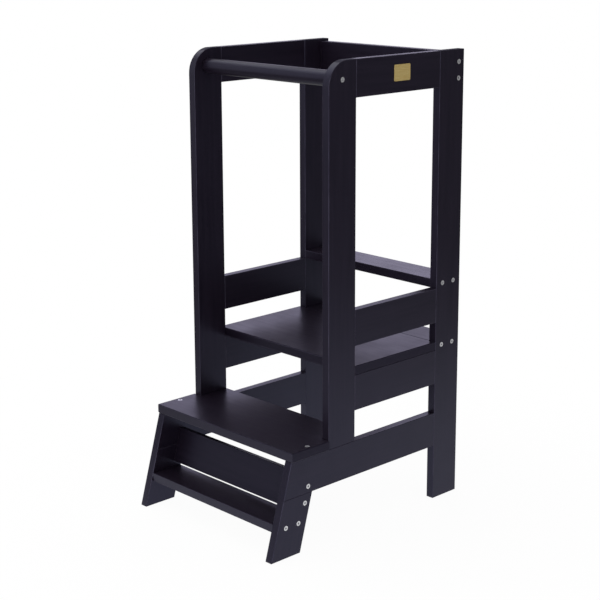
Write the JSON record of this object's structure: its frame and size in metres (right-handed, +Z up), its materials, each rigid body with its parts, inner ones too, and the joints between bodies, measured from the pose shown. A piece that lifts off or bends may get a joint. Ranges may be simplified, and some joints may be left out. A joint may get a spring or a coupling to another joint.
{
  "type": "toddler kitchen helper stool",
  "caption": "Tall wooden helper tower for a young child: railed standing platform, grab bar, lower step and foot tread on leaning front legs, black lacquer.",
  "frame": {"origin": "floor level, middle of the overall length and width; X = 0 is the mirror plane of the two side frames", "axes": "+Z up from the floor, -Y the side that the child climbs from, +X the side with the name plate"},
  "size_m": [0.395, 0.518, 0.91],
  "materials": {
    "black_lacquered_wood": "black satin lacquer over wood",
    "zinc_screws": "bright zinc plating",
    "gold_plate": "satin gold, bare",
    "bare_wood": "raw beech, glued, hidden in the joints"
  },
  "bodies": {
    "root": {"foot_tread": "black_lacquered_wood", "handle_bar": "black_lacquered_wood", "handle_screws": "zinc_screws", "left_frame_tenons": "bare_wood", "left_front_leg": "black_lacquered_wood", "left_front_post": "black_lacquered_wood", "left_guard_rail": "black_lacquered_wood", "left_lower_rail": "black_lacquered_wood", "left_platform_rail": "black_lacquered_wood", "left_rear_post": "black_lacquered_wood", "left_top_rail": "black_lacquered_wood", "mid_back_rail": "black_lacquered_wood", "mid_back_screws": "zinc_screws", "name_plate": "gold_plate", "platform_board": "black_lacquered_wood", "platform_rear_board": "black_lacquered_wood", "platform_screws": "zinc_screws", "platform_tenons": "bare_wood", "right_frame_tenons": "bare_wood", "right_front_leg": "black_lacquered_wood", "right_front_post": "black_lacquered_wood", "right_guard_rail": "black_lacquered_wood", "right_lower_rail": "black_lacquered_wood", "right_platform_rail": "black_lacquered_wood", "right_rear_post": "black_lacquered_wood", "right_top_rail": "black_lacquered_wood", "riser_board": "black_lacquered_wood", "riser_screws": "zinc_screws", "step_board": "black_lacquered_wood", "step_screws": "zinc_screws", "step_tenons": "bare_wood", "top_back_rail": "black_lacquered_wood", "top_back_screws": "zinc_screws", "tread_screws": "zinc_screws"}
  },
  "joints": []
}
